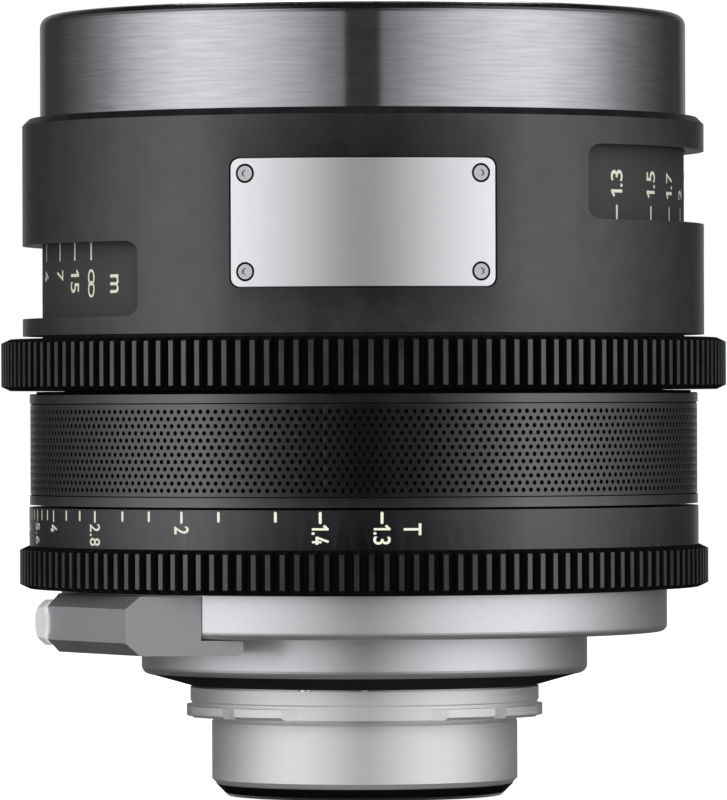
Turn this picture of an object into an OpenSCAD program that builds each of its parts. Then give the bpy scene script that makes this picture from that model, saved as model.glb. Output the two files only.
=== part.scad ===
// Cinema prime lens with a positive-lock mount, a geared focus ring and a geared iris ring.
// Z is the optical axis, with the front up. Z = 0 is the seat of the mount flange on the camera.
// Angles named phi are measured from -Y, the side with the name plate, towards +X.

/* [Mount] */
// Outer diameter of the mount tube
tube_d = 54; // [53:0.1:55]
// Length of the mount tube behind the flange seat
tube_len = 11.2; // [9.5:0.1:13]
// Wall of the mount tube
tube_wall = 1.8; // [1.2:0.1:2]
// Thickness of the bayonet flange
flange_t = 1.9; // [1.5:0.1:2.5]
// Diameter of the flange between its lobes
flange_d = 62.9; // [62.2:0.1:64]
// Diameter across the bayonet lobes
lobe_d = 67; // [65:0.1:69]
// Half of the angle that a lobe spans at its rim
lobe_half_angle = 19.4; // [15:0.1:24]
// Angle of the ramp at each end of a lobe
lobe_ramp = 4.5; // [2:0.1:8]
// Chamfer on the rear edge of each lobe
lobe_chamfer = 0.5; // [0.2:0.1:0.8]
// Width of the index notch in each lobe
notch_w = 2.85; // [2:0.05:4]
// Step from the tube to the collar between flange and housing
collar_step = 3.8; // [3.2:0.1:4.2]
// Height of the collar
collar_h = 3.1; // [2.5:0.1:5]
// Thickness of the back-focus shim
shim_t = 0.3; // [0.1:0.05:0.6]
// Chamfer on the rear end of the mount tube
tube_chamfer = 0.95; // [0.5:0.05:1.1]
// Height of the tube's chamfer and the bevelled ring behind it
rear_bevel_h = 3; // [2.5:0.1:4]

/* [Rear housing] */
// Diameter of the lower step
step_d = 78.8; // [74:0.1:84]
// Diameter of the upper band
band_d = 107; // [106.6:0.1:110]
// Height of the cone under the lower step
cone_h = 2; // [1:0.1:3]
// Height of the lower step
step_h = 7.3; // [7:0.1:12]
// Height of the upper band
band_h = 7.5; // [7:0.1:12]
// Thickness of the housing floor
floor_t = 4; // [3:0.1:5]

/* [Connector] */
// Distance of the boss facet from the optical axis
boss_reach = 58.3; // [57.5:0.1:60]
// Distance of the flat front face from the optical axis
boss_front = 45.9; // [44:0.1:47]
// Height of the boss
boss_h = 10.2; // [9:0.1:11]
// Bevel along the top and bottom edges of the boss
boss_bevel = 2.2; // [1.5:0.1:2.5]
// Distance of the boss end from its corner
boss_len = 28.5; // [24:0.1:32]
// Diameter of the round connector
plug_d = 5; // [4.5:0.1:5.2]
// Length of the round connector
plug_len = 4.6; // [4.2:0.1:6]

/* [Iris ring] */
// Tooth module of both gear rings
gear_module = 0.8; // [0.8:0.1:0.9]
// Number of teeth on the iris gear
iris_teeth = 150; // [149:1:158]
// Width of the iris gear
iris_gear_w = 7.5; // [6:0.1:9]
// Diameter of the T scale band
t_band_d = 118.2; // [116:0.1:118.6]
// Height of the T scale band
t_band_h = 6.8; // [5.5:0.1:9]
// Gap under the iris gear
iris_gap = 0.4; // [0.3:0.05:0.8]
// Gap above the T scale band
grip_gap = 0.3; // [0.2:0.05:0.6]

/* [Grip] */
// Diameter of the perforated grip band
grip_d = 118; // [116:0.1:120]
// Height of the grip band
grip_h = 19.6; // [16:0.1:26]
// Chamfer on the top edge of the grip band
grip_chamfer = 0.4; // [0.4:0.1:1.5]

/* [Focus ring] */
// Number of teeth on the focus gear
focus_teeth = 158; // [156:1:164]
// Width of the focus gear
focus_gear_w = 9.1; // [8:0.1:11]
// Gap on each side of the focus gear
focus_gap = 0.55; // [0.4:0.05:0.9]
// Turn of the focus ring from infinity to its near stop
focus_throw = 300; // [240:1:310]
// Turn of the focus ring from infinity at rest
focus_at_rest = 33.9; // [10:0.1:60]
// Travel of the focus carriage over the whole turn
focus_stroke = 12; // [11:0.1:13]
// Diameter of the cam follower pins
follower_d = 2.4; // [2:0.1:2.6]

/* [Window barrel] */
// Diameter of the window barrel
barrel_d = 120.4; // [120:0.1:124]
// Height of the window barrel
barrel_h = 38.2; // [37:0.1:42]
// Wall of the window barrel
barrel_wall = 3.2; // [2.6:0.1:3.5]
// Height of the chamfer under the front ring
barrel_chamfer_h = 1.2; // [0.5:0.1:2]
// Height of the scale windows
window_h = 12.9; // [10:0.1:13]
// Height of the lower window above the barrel's rear edge
left_window_z = 3; // [2:0.1:4]
// Height of the upper window above the barrel's rear edge
right_window_z = 19.4; // [18:0.1:20]
// Width of the scale windows, straight across
window_w = 92.5; // [70:0.1:96]
// Corner radius of the windows
window_corner = 2; // [1:0.1:3]

/* [Name plate] */
// Width of the plate, straight across
plate_w = 44.8; // [40:0.1:48]
// Height of the plate
plate_h = 21.7; // [18:0.1:24]
// Height of the plate's lower edge above the barrel's rear edge
plate_z = 7.8; // [6:0.1:9]
// Thickness of the plate
plate_t = 1; // [0.8:0.1:1.4]
// Corner radius of the plate
plate_corner = 1.5; // [0.8:0.1:2.5]
// Distance between the left and right plate screws
plate_screw_w = 39.9; // [34:0.1:41]
// Distance between the upper and lower plate screws
plate_screw_gap = 16.65; // [13:0.05:19]
// Head diameter of the plate screws
plate_screw_d = 2.55; // [2:0.05:3]

/* [Front] */
// Diameter of the front ring
front_d = 114; // [112:0.1:116]
// Height of the front ring
front_h = 18.2; // [17.5:0.1:22]
// Wall of the front ring
front_wall = 3.6; // [2.8:0.1:4]
// Edge rounding of the front ring
front_round = 2; // [1:0.1:2.5]
// Steps of the light trap inside the front ring
baffle_steps = 9; // [5:1:12]

/* [Optics] */
// Diameter of the front element
front_glass_d = 80; // [76:0.5:82]
// Diameter of the second element
second_glass_d = 66; // [62:0.5:70]
// Diameter of the focusing elements
focus_glass_d = 60; // [54:0.5:64]
// Diameter of the rear group's elements
rear_glass_d = 42; // [38:0.5:43]
// Diameter of the rear element
rear_element_d = 38; // [34:0.5:39]
// Radius of the front element's front face
front_face_r = 95; // [85:1:120]
// Radius of the hollow behind the front element
front_hollow_r = 60; // [54:1:90]
// Radius of the second element's front face
second_face_r = 80; // [70:1:100]
// Radius of the hollow behind the second element
second_hollow_r = 75; // [65:1:100]
// Radius of the front face of the focusing doublet
focus_face_r = 90; // [80:1:120]
// Radius of the cemented faces of the focusing doublet
focus_cement_r = 55; // [50:1:80]
// Radius of both faces of the rear group's single element
group_face_r = 60; // [50:1:90]
// Radius of the front face of the rear doublet
crown_face_r = 50; // [44:1:80]
// Radius of the cemented faces of the rear doublet
rear_cement_r = 45; // [40:1:70]
// Radius of the hollow behind the rear doublet
flint_hollow_r = 80; // [70:1:120]
// Radius of the rear element's front face
rear_face_r = 55; // [48:1:90]

/* [Iris] */
// Radius of the fully open iris
open_r = 17; // [15:0.1:18]
// Radius of the circle of blade pivots
pivot_r = 30; // [29:0.1:31]
// Swing of each blade from open to closed
blade_swing = 31.1; // [20:0.1:31.5]
// Turn of the iris ring from open to closed
iris_throw = 101.9; // [100:0.1:104]
// Turn of the iris ring from open at rest
iris_at_rest = 93.2; // [40:0.1:100]
// Thickness of a blade
blade_t = 0.12; // [0.08:0.01:0.15]
// Height from one blade to the next
blade_pitch = 0.2; // [0.19:0.01:0.25]

/* [Fits] */
// Radial clearance of parts that turn or slide on each other
run_clear = 0.08; // [0.04:0.01:0.1]
// Clearance between parts that are fastened together
fit_clear = 0.04; // [0.02:0.01:0.08]
// Wall of the main barrel beside the focus carriage
main_wall = 3.2; // [2.8:0.1:3.4]
// Wall of the focus cam sleeve
cam_wall = 2.4; // [2:0.1:2.6]

/* [Hidden] */
$fn = 96;

// Levels along the optical axis, from the flange seat to the front edge
z_shim = flange_t + collar_h;
z_house = z_shim + shim_t;
z_floor = z_house + floor_t;
z_step = z_house + cone_h;
z_band = z_step + step_h;
z_neck = z_band + band_h;
z_iris = z_neck + iris_gap;
z_tband = z_iris + iris_gear_w;
z_ttop = z_tband + t_band_h;
z_grip = z_ttop + grip_gap;
z_gtop = z_grip + grip_h;
z_focus = z_gtop + focus_gap;
z_scale = z_focus + focus_gear_w;
z_barrel = z_scale + focus_gap;
z_front = z_barrel + barrel_h;
z_end = z_front + front_h;
web_t = 4.1;
z_web = z_front - web_t;

// Radii, from the outside in
tube_r = tube_d / 2;
tube_bore = tube_r - tube_wall;
collar_r = tube_r + collar_step;
step_r = step_d / 2;
band_r = band_d / 2;
barrel_r = barrel_d / 2;
barrel_bore = barrel_r - barrel_wall;
scale_gap = 0.3;
scale_r = barrel_bore - scale_gap;
front_r = front_d / 2;
front_bore = front_r - front_wall;
grip_r = grip_d / 2;
shoulder = 0.3;
neck_r = band_r - shoulder;
cam_r = neck_r - shoulder;
cam_bore = cam_r - cam_wall;
main_r = cam_bore - run_clear;
main_bore = main_r - main_wall;
ledge_r = main_bore - 3.2;
over = 1;
retainer_w = 1.5;
retainer_h = 1.6;
cement = 0.02;

// Iris stack, hung on the level of the drive pin
blade_count = 11;
z_drive = (z_iris + z_ttop) / 2 + 3.85;
drive_d = 3;
rotor_t = 1.5;
rotor_rim_h = 5.5;
rotor_rim_w = 4;
z_rotor = z_drive - rotor_rim_h / 2;
blade_gap = 0.3;
blade_stack = (blade_count - 1) * blade_pitch + blade_t;
z_blades = z_rotor - blade_gap - blade_stack;
z_base = z_blades - blade_gap;
base_t = 2;
z_ledge = z_base - base_t;
blade_step = 360 / blade_count;
blade_ratio = blade_swing / iris_throw;
blade_r = pivot_r - 1.6;
pivot_pin_r = 0.7;
stud_r = 0.5;
stud_angle = 22;
slot_r = stud_r + run_clear;
drive_phi = 150;

// Focus drive: the pins slide in straight slots of the main barrel and helical slots of the sleeve
follower_count = 3;
lead = focus_stroke / focus_throw;
z_infinity = z_focus + 11.5;
z_follow = z_infinity + focus_at_rest * lead;
follower_slot = follower_d + 2 * run_clear;
follower_phi = 60;
screw_z = z_barrel + (left_window_z + window_h + right_window_z) / 2;

// Tooth form of the gear rings
tooth_depth = 2.2 * gear_module;
tooth_land = 0.9 * gear_module;
tooth_root_gap = 0.95 * gear_module;
tooth_end_r = 2 * gear_module;
tooth_end_z = 0.75;

function polar(r, a) = [r * cos(a), r * sin(a)];
function sag(r, h) = r - sqrt(r * r - h * h);
// How far a bulging face rises from a lens's rim to the inner edge of a ring laid on it
function rim_rise(radius, d) = sag(radius, d / 2) - sag(radius, d / 2 - retainer_w);
function arc(x, y, r, a0, a1, n = 6) = [for (i = [0:n]) [x, y] + polar(r, a0 + (a1 - a0) * i / n)];
function tip_r(teeth) = gear_module * (teeth + 2) / 2;

module at(phi) rotate([0, 0, phi - 90]) children();

module turn(points) rotate_extrude() polygon(points);

module band(r0, r1, z0, z1) rotate_extrude() translate([r0, z0]) square([r1 - r0, z1 - z0]);

module sector(r0, r1, z0, z1, half) {
  rotate([0, 0, -half]) rotate_extrude(angle = 2 * half)
    translate([r0, z0]) square([r1 - r0, z1 - z0]);
}

module spoke(r0, r1, z, d, sides = 0) {
  translate([r0, 0, z]) rotate([0, 90, 0]) cylinder(d = d, h = r1 - r0, $fn = sides ? sides : $fn);
}

// Upright panel with rounded corners, square to the direction phi
module panel(phi, w, z0, z1, corner) {
  x = w / 2 - corner;
  at(phi) rotate([90, 0, 90]) linear_extrude(barrel_d) polygon(concat(
    arc(x, z0 + corner, corner, -90, 0), arc(x, z1 - corner, corner, 0, 90),
    arc(-x, z1 - corner, corner, 90, 180), arc(-x, z0 + corner, corner, 180, 270)));
}

// Ball that bounds a bulging face, or a block that leaves the face as it is
module lens_cap(d, r) {
  if (r > 0) sphere(r);
  else cylinder(r = d, h = 2 * d, center = true);
}

// Lens element: positive radii bulge outwards, negative ones are hollow, zero is flat
module lens(d, z_top, r_top, z_low, r_low, hollow = 0) {
  edge = hollow ? hollow : d / 2;
  rise = r_top < 0 ? sag(-r_top, edge) : 0;
  drop = r_low < 0 ? sag(-r_low, edge) : 0;
  difference() {
    intersection() {
      translate([0, 0, z_low - drop]) cylinder(d = d, h = z_top + rise - z_low + drop);
      translate([0, 0, z_top - max(r_top, 0)]) lens_cap(d, r_top);
      translate([0, 0, z_low + max(r_low, 0)]) lens_cap(d, r_low);
    }
    if (r_top < 0) translate([0, 0, z_top - r_top]) sphere(-r_top);
    if (r_low < 0) translate([0, 0, z_low + r_low]) sphere(-r_low);
  }
}

function tooth(a, teeth) = let (
    r = tip_r(teeth),
    root = r - tooth_depth,
    half_land = asin(tooth_land / 2 / r),
    half_root = 180 / teeth - asin(tooth_root_gap / 2 / root)
  ) [polar(root, a - half_root), polar(r + over / 4, a - half_land),
     polar(r + over / 4, a + half_land), polar(root, a + half_root)];

// Ring of straight teeth with bevelled ends
module gear_teeth(teeth, bore, z0, w) {
  r = tip_r(teeth);
  intersection() {
    turn([[bore, z0], [r - tooth_end_r, z0], [r, z0 + tooth_end_z], [r, z0 + w - tooth_end_z],
          [r - tooth_end_r, z0 + w], [bore, z0 + w]]);
    translate([0, 0, z0 - over]) linear_extrude(w + 2 * over)
      polygon([for (i = [0:teeth - 1]) each tooth(360 * i / teeth, teeth)]);
  }
}

// Front ring and front group

glass_top = z_front + 11.9;
front_edge = glass_top - sag(front_face_r, front_glass_d / 2 - retainer_w);
front_hollow = front_glass_d / 2 - 4;
front_seat = z_front - web_t;
second_top = z_front + 2.4;
second_t = 3.5;
second_seat = second_top - second_t - sag(second_hollow_r, second_glass_d / 2);
second_edge = second_top - sag(second_face_r, second_glass_d / 2 - retainer_w);
cell_bottom = second_seat - 1.8;
cell_flange = 2;

module front_ring() color("silver") turn(concat(
  [[front_bore, z_front], [front_r, z_front]],
  arc(front_r - front_round, z_end - front_round, front_round, 0, 90),
  [[front_bore + 0.8, z_end], [front_bore, z_end - 0.8]]));

// Conical light trap with a stair of sharp steps
module front_baffle() color("black") {
  outer = front_bore - fit_clear;
  base = z_front + cell_flange;
  top = z_end - 1.6;
  rim = 2;
  inner = front_glass_d / 2 + 1.6;
  low = front_edge + retainer_h + 0.6;
  run = (outer - 0.5 - inner) / baffle_steps;
  rise = (top - low - 0.6) / baffle_steps;
  turn(concat(
    [[outer - rim, base], [outer, base], [outer, top]],
    [for (i = [0:baffle_steps - 1]) each [
      [outer - 0.5 - i * run, top - i * rise], [outer - 0.5 - i * run, top - (i + 1) * rise]]],
    [[inner, low + 0.6], [inner, low], [inner + 1, low], [outer - rim, top - 3.4]]));
}

module front_element_retainer() color("black")
  band(front_glass_d / 2 - retainer_w, front_glass_d / 2, front_edge + cement, front_edge + retainer_h);

module front_element() color("powderblue")
  lens(front_glass_d, glass_top, front_face_r, front_seat + sag(front_hollow_r, front_hollow),
       -front_hollow_r, front_hollow);

module second_element_retainer() color("black")
  band(second_glass_d / 2 - retainer_w, second_glass_d / 2, second_edge + cement, second_edge + retainer_h);

module second_element() color("powderblue")
  lens(second_glass_d, second_top, second_face_r,
       second_seat + sag(second_hollow_r, second_glass_d / 2), -second_hollow_r);

module front_cell() color("dimgray") {
  tube = main_bore - fit_clear;
  bore = front_glass_d / 2 + fit_clear;
  seat = second_glass_d / 2 + fit_clear;
  turn([[seat - 2.2, cell_bottom], [tube, cell_bottom], [tube, z_front],
        [front_bore - fit_clear, z_front], [front_bore - fit_clear, z_front + cell_flange],
        [bore + 2.4, z_front + cell_flange], [bore + 2.4, front_edge],
        [bore + 1.2, front_edge + retainer_h], [bore, front_edge + retainer_h], [bore, front_seat],
        [seat, front_seat], [seat, second_seat], [seat - 2.2, second_seat]]);
}

// Screws of the window barrel, along the axis into the main barrel's wall
barrel_screw_count = 6;
barrel_screw_r = (main_bore + main_r) / 2;
barrel_screw_d = 1.4;
barrel_head_d = 2.6;
barrel_head_h = 1.4;

module barrel_screw_places() for (i = [0:barrel_screw_count - 1])
  at(60 * i + 30) translate([barrel_screw_r, 0, z_front]) children();

module barrel_screws() color("gray") barrel_screw_places() difference() {
  union() {
    translate([0, 0, -barrel_head_h]) cylinder(d = barrel_head_d, h = barrel_head_h - fit_clear);
    translate([0, 0, -web_t - 4]) cylinder(d = barrel_screw_d, h = web_t + 3);
  }
  translate([0, 0, -0.8]) cylinder(d = 1.2, h = over, $fn = 6);
}

module barrel_screw_holes() barrel_screw_places() {
  translate([0, 0, -barrel_head_h]) cylinder(d = barrel_head_d + 2 * fit_clear, h = barrel_head_h + over);
  translate([0, 0, -web_t - 4.2]) cylinder(d = barrel_screw_d + 2 * fit_clear, h = web_t + 4);
}

// Window barrel and name plate

plate_proud = 0.15;
plate_gap = 0.3;
plate_out = barrel_r + plate_proud;
plate_in = plate_out - plate_t;
plate_low = z_barrel + plate_z;
plate_mid = plate_low + plate_h / 2;
plate_bore_d = plate_screw_d + 0.75;
plate_bore_depth = 0.5;
plate_shank_d = 1.4;

module plate_screw_places() for (a = [-1, 1], z = [-1, 1])
  at(a * asin(plate_screw_w / 2 / barrel_r)) translate([0, 0, plate_mid + z * plate_screw_gap / 2])
    children();

module window_barrel() color([0.13, 0.13, 0.14]) difference() {
  turn([[barrel_bore, z_barrel], [barrel_r, z_barrel], [barrel_r, z_front - barrel_chamfer_h],
        [barrel_r - barrel_chamfer_h, z_front], [main_bore, z_front], [main_bore, z_web],
        [barrel_bore, z_web]]);
  panel(-90, window_w, z_barrel + left_window_z, z_barrel + left_window_z + window_h, window_corner);
  panel(90, window_w, z_barrel + right_window_z, z_barrel + right_window_z + window_h, window_corner);
  intersection() {
    panel(0, plate_w + 2 * plate_gap, plate_low - plate_gap, plate_low + plate_h + plate_gap,
          plate_corner + plate_gap);
    band(plate_in - fit_clear, barrel_r + over, z_barrel, z_front);
  }
  plate_screw_places() spoke(plate_in - 1.7, barrel_r, 0, plate_shank_d + 2 * fit_clear);
  barrel_screw_holes();
}

module name_plate() color("gainsboro") difference() {
  intersection() {
    panel(0, plate_w, plate_low, plate_low + plate_h, plate_corner);
    band(plate_in, plate_out, z_barrel, z_front);
  }
  plate_screw_places() {
    spoke(plate_in - over, plate_out, 0, plate_shank_d + 2 * fit_clear);
    spoke(plate_out - plate_bore_depth, plate_out + over, 0, plate_bore_d);
  }
}

module name_plate_screws() color("silver") plate_screw_places() difference() {
  union() {
    spoke(plate_out - plate_bore_depth, plate_out, 0, plate_screw_d);
    spoke(plate_in - 1.6, plate_out - plate_bore_depth, 0, plate_shank_d);
  }
  spoke(plate_out - 0.4, plate_out + over, 0, plate_screw_d / 2, 6);
}

// Main barrel, which carries both turning rings, and the grip on it

module drive_slot() rotate([0, 0, (iris_throw / 2 - iris_at_rest)]) at(drive_phi)
  sector(main_bore - over, neck_r + over, z_drive - drive_d / 2 - 0.2, z_drive + drive_d / 2 + 0.2,
         iris_throw / 2 + 2.2);

module guide_slots() for (i = [0:follower_count - 1]) at(follower_phi + 120 * i) {
  for (z = [z_infinity, z_infinity + focus_stroke])
    spoke(main_bore - over, main_r + over, z, follower_slot);
  translate([main_bore - over, -follower_slot / 2, z_infinity])
    cube([main_wall + 2 * over, follower_slot, focus_stroke]);
}

module main_barrel() color([0.1, 0.1, 0.1]) difference() {
  turn([[ledge_r, z_neck], [neck_r, z_neck], [neck_r, z_grip], [cam_r, z_grip], [cam_r, z_focus],
        [main_r, z_focus], [main_r, z_web], [main_bore, z_web], [main_bore, z_ledge], [ledge_r, z_ledge]]);
  drive_slot();
  guide_slots();
  barrel_screw_holes();
  housing_screw_holes();
}

neck_gap = 0.15;
neck_step = 1.2;

module grip_sleeve() color([0.12, 0.12, 0.13]) turn([
  [cam_r + fit_clear, z_grip], [grip_r, z_grip], [grip_r, z_gtop - grip_chamfer],
  [grip_r - grip_chamfer, z_gtop], [grip_r - neck_step, z_gtop],
  [grip_r - neck_step, z_focus - neck_gap],
  [cam_r + fit_clear, z_focus - neck_gap]]);

// Rear housing, with the mount below it and the connector at its side

step_round = 1.5;
band_round = 1.2;
cavity_r = ledge_r - 0.8;
floor_bore = tube_r - 1;

module rear_housing() color("darkgray") difference() {
  turn(concat(
    [[floor_bore, z_house], [collar_r, z_house], [step_r - step_round, z_step]],
    arc(step_r - step_round, z_step + step_round, step_round, -90, 0),
    [[step_r, z_band]],
    arc(band_r - band_round, z_band + band_round, band_round, -90, 0),
    [[band_r, z_neck], [cavity_r, z_neck], [cavity_r, z_band + floor_t],
     [step_r - floor_t, z_band], [step_r - floor_t, z_floor], [floor_bore, z_floor]]));
  housing_screw_holes();
  mount_screw_holes();
  mount_pin_hole();
}

housing_screw_count = 6;
housing_screw_r = (ledge_r + main_bore) / 2;
housing_screw_d = 1.6;
housing_head_d = 2.8;
housing_head_h = 1.2;
housing_screw_len = 4.5;

module housing_screw_places() for (i = [0:housing_screw_count - 1])
  at(60 * i) translate([housing_screw_r, 0, z_ledge]) children();

module housing_screw(clear) {
  translate([0, 0, -housing_head_h]) cylinder(d = housing_head_d + 2 * clear, h = housing_head_h);
  translate([0, 0, z_neck - z_ledge - housing_screw_len - clear])
    cylinder(d = housing_screw_d + 2 * clear, h = z_ledge - z_neck + housing_screw_len);
}

module housing_screw_holes() housing_screw_places() housing_screw(fit_clear);

module housing_screws() color("gray") housing_screw_places() difference() {
  housing_screw(0);
  translate([0, 0, -0.7]) cylinder(d = 1.3, h = over, $fn = 6);
}

// Boss of the data connector: an eight-sided bar beside the band, cut flat at the front
boss_phi = -60;
boss_low = z_band - 2.8;
boss_mid = boss_low + boss_h / 2;
corner_u = (boss_reach * sin(30) - boss_front) / cos(30);
end_u = corner_u + boss_len;
lip_x = 20.7;
lip_len = 16;
lip_round = 1.2;
plug_in = 2.5;
plug_wall = 0.9;
plug_round = 1.2;
plug_floor = 2;
nut_t = 4;
nut_wall = 0.4;
nut_half = 3.95;
nut_bevel = 1.35;
nut_face = 3.1;
boss_seam = 0.2;

// Runs along the bar from the point nearest to the axis, towards the connector
module along_boss(n, z, u) at(boss_phi) translate([n, 0, z]) rotate([90, 0, 0])
  translate([0, 0, u]) children();

module at_plug(u) along_boss(boss_reach - plug_in, boss_mid, end_u + u) children();

module connector_block() color("gray") difference() {
  intersection() {
    along_boss(0, 0, corner_u - lip_len) linear_extrude(boss_len + lip_len)
      polygon([[step_r, boss_low], [boss_reach - boss_bevel, boss_low],
               [boss_reach, boss_low + boss_bevel], [boss_reach, boss_low + boss_h - boss_bevel],
               [boss_reach - boss_bevel, boss_low + boss_h], [step_r, boss_low + boss_h]]);
    rotate([90, 0, 0]) linear_extrude(height = 2 * boss_front, center = true)
      polygon(concat([[-boss_reach * 2, boss_low]],
        arc(-lip_x - lip_round, boss_low + lip_round, lip_round, -90, 0),
        [[-lip_x, boss_low + boss_h], [-boss_reach * 2, boss_low + boss_h]]));
  }
  translate([0, 0, z_band - boss_seam]) cylinder(r = band_r + boss_seam, h = boss_h);
  cylinder(r = step_r + fit_clear, h = z_band + over);
  at_plug(-plug_floor - fit_clear) cylinder(r = plug_d / 2 - plug_wall, h = plug_floor + over);
}

// Bevelled coupling collar, both of its ends turned down to a cone
module connector_nut() color("silver") difference() {
  reach = plug_d / 2 + nut_wall;
  widest = nut_half + reach;
  intersection() {
    at_plug(0) linear_extrude(nut_t)
      polygon([[-reach, -nut_half], [reach - nut_bevel, -nut_half], [reach, nut_bevel - nut_half],
               [reach, nut_half - nut_bevel], [reach - nut_bevel, nut_half], [-reach, nut_half]]);
    at_plug(0) turn([[0, 0], [nut_face, 0], [widest, widest - nut_face],
                     [widest, nut_t + nut_face - widest], [nut_face, nut_t], [0, nut_t]]);
  }
  at_plug(-over) cylinder(d = plug_d + 2 * fit_clear, h = nut_t + 2 * over);
  translate([0, 0, z_band]) cylinder(r = band_r + fit_clear, h = boss_h);
}

module connector_shell() color("white") at_plug(0) turn(concat(
  [[plug_d / 2 - plug_wall, 0], [plug_d / 2, 0]],
  arc(plug_d / 2 - plug_round, plug_len - plug_round, plug_round, 0, 70),
  [[plug_d / 2 - plug_wall, plug_len]]));

module connector_insert() color("black") at_plug(-plug_floor)
  cylinder(r = plug_d / 2 - plug_wall - fit_clear, h = plug_floor + plug_len - 1.2);

module connector_pins() color("gold") at_plug(plug_len - 1.2) for (i = [0:3])
  rotate([0, 0, 90 * i + 45]) translate([plug_d / 6, 0, 0]) cylinder(d = 0.5, h = 0.8);

// Mount: tube, bayonet flange with four notched lobes, and collar

relief = 0.25;
groove_z = 0.85;
lobe_angles = [45, 135, 225, 315];

module lobe() {
  flare = lobe_half_angle + lobe_ramp;
  intersection() {
    circle(d = lobe_d);
    polygon([[0, 0], polar(flange_d / 2 - relief, -flare), polar(lobe_d, -lobe_half_angle) * 0.5,
             polar(lobe_d * 0.6, 0), polar(lobe_d, lobe_half_angle) * 0.5,
             polar(flange_d / 2 - relief, flare)]);
  }
}

module pl_mount() color("lightgray") difference() {
  union() {
    turn([[tube_bore, -tube_len - tube_chamfer], [tube_r - tube_chamfer, -tube_len - tube_chamfer],
          [tube_r, -tube_len], [tube_r, -groove_z - relief], [tube_r - relief, -groove_z],
          [tube_r, -groove_z + relief], [tube_r, 0], [flange_d / 2, 0], [flange_d / 2, flange_t],
          [collar_r - relief, flange_t], [collar_r - relief, flange_t + 2 * relief],
          [collar_r, flange_t + 3 * relief], [collar_r, z_shim], [tube_bore, z_shim]]);
    intersection() {
      linear_extrude(flange_t) for (a = lobe_angles) rotate(a) lobe();
      turn([[tube_r, 0], [lobe_d / 2 - lobe_chamfer, 0], [lobe_d / 2, lobe_chamfer],
            [lobe_d / 2, flange_t], [tube_r, flange_t]]);
    }
  }
  for (a = lobe_angles) rotate([0, 0, a])
    translate([flange_d / 2, -notch_w / 2, -over]) cube([lobe_d, notch_w, flange_t + 2 * over]);
  mount_screw_holes();
  mount_pin_hole();
}

module pl_shim() color("silver") difference() {
  band(tube_bore + 1, collar_r - 1.1, z_shim, z_house);
  mount_screw_holes();
  mount_pin_hole();
}

mount_pin_d = 2.4;
mount_pin_r = collar_r - 0.15 - mount_pin_d / 2;
mount_pin_phi = -20.3;

module mount_pin() color("white") at(mount_pin_phi) translate([mount_pin_r, 0, flange_t + 0.8])
  cylinder(d = mount_pin_d, h = z_house - flange_t + 1.4);

module mount_pin_hole() at(mount_pin_phi) translate([mount_pin_r, 0, flange_t + 0.8])
  cylinder(d = mount_pin_d + 2 * fit_clear, h = z_house - flange_t + 1.5);

mount_screw_r = (tube_r + flange_d / 2) / 2;
mount_screw_d = 1.6;
mount_head_d = 2.8;
mount_head_h = 0.8;
mount_screw_len = z_house + 3;

module mount_screw_places() for (i = [0:3]) at(90 * i) translate([mount_screw_r, 0, 0]) children();

module mount_screw(clear) {
  cylinder(d1 = mount_head_d + 2 * clear, d2 = mount_screw_d + 2 * clear, h = mount_head_h);
  cylinder(d = mount_screw_d + 2 * clear, h = mount_screw_len + clear);
}

module mount_screw_holes() mount_screw_places() mount_screw(fit_clear);

module mount_screws() color("silver") mount_screw_places() difference() {
  mount_screw(0);
  translate([0, 0, -over]) cylinder(d = 1, h = over + 0.5, $fn = 6);
}

rear_land = 0.2;

module rear_baffle() color("black") turn([
  [rear_element_d / 2 - 1, -tube_len - rear_bevel_h],
  [tube_r + rear_land - rear_bevel_h, -tube_len - rear_bevel_h],
  [tube_r + rear_land - tube_chamfer, -tube_len - tube_chamfer],
  [tube_bore - fit_clear, -tube_len - tube_chamfer], [tube_bore - fit_clear, cell_low],
  [rear_element_d / 2 - 1, cell_low]]);

// Rear group, dropped into its cell from the front

cell_low = -tube_len + 0.8;
cell_lip = 1.4;
rear_low = cell_low + cell_lip;
rear_edge = rear_low + 2.6;
flint_seat = rear_edge + 4.3;
flint_hollow = rear_glass_d / 2 - 2;
flint_t = 2;
flint_back = flint_seat + sag(flint_hollow_r, flint_hollow);
flint_edge = flint_back + flint_t + sag(rear_cement_r, rear_glass_d / 2);
crown_edge = flint_edge + 1;
group_low = crown_edge + 10.8;
group_edge = group_low + 1.5;
group_top = group_edge + rim_rise(group_face_r, rear_glass_d);
rear_flange_w = 7;

module rear_cell() color("dimgray") {
  bore = rear_glass_d / 2 + fit_clear;
  small_bore = rear_element_d / 2 + fit_clear;
  tube = tube_bore - fit_clear;
  turn([[small_bore - 1.3, cell_low], [tube, cell_low], [tube, z_floor],
        [tube + rear_flange_w, z_floor], [tube + rear_flange_w, z_floor + 2], [tube, z_floor + 2],
        [tube, group_top + retainer_h], [bore, group_top + retainer_h], [bore, flint_seat],
        [small_bore, flint_seat], [small_bore, rear_low], [small_bore - 1.3, rear_low]]);
}

module rear_cell_retainer() color("black")
  band(rear_glass_d / 2 - retainer_w, rear_glass_d / 2, group_top + cement, group_top + retainer_h);

module rear_group_element() color("powderblue")
  lens(rear_glass_d, group_edge + sag(group_face_r, rear_glass_d / 2), group_face_r,
       group_low - sag(group_face_r, rear_glass_d / 2), group_face_r);

module rear_spacer() color("black")
  band(rear_glass_d / 2 - retainer_w, rear_glass_d / 2,
       crown_edge + rim_rise(crown_face_r, rear_glass_d) + cement,
       group_low - rim_rise(group_face_r, rear_glass_d) - cement);

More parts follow.
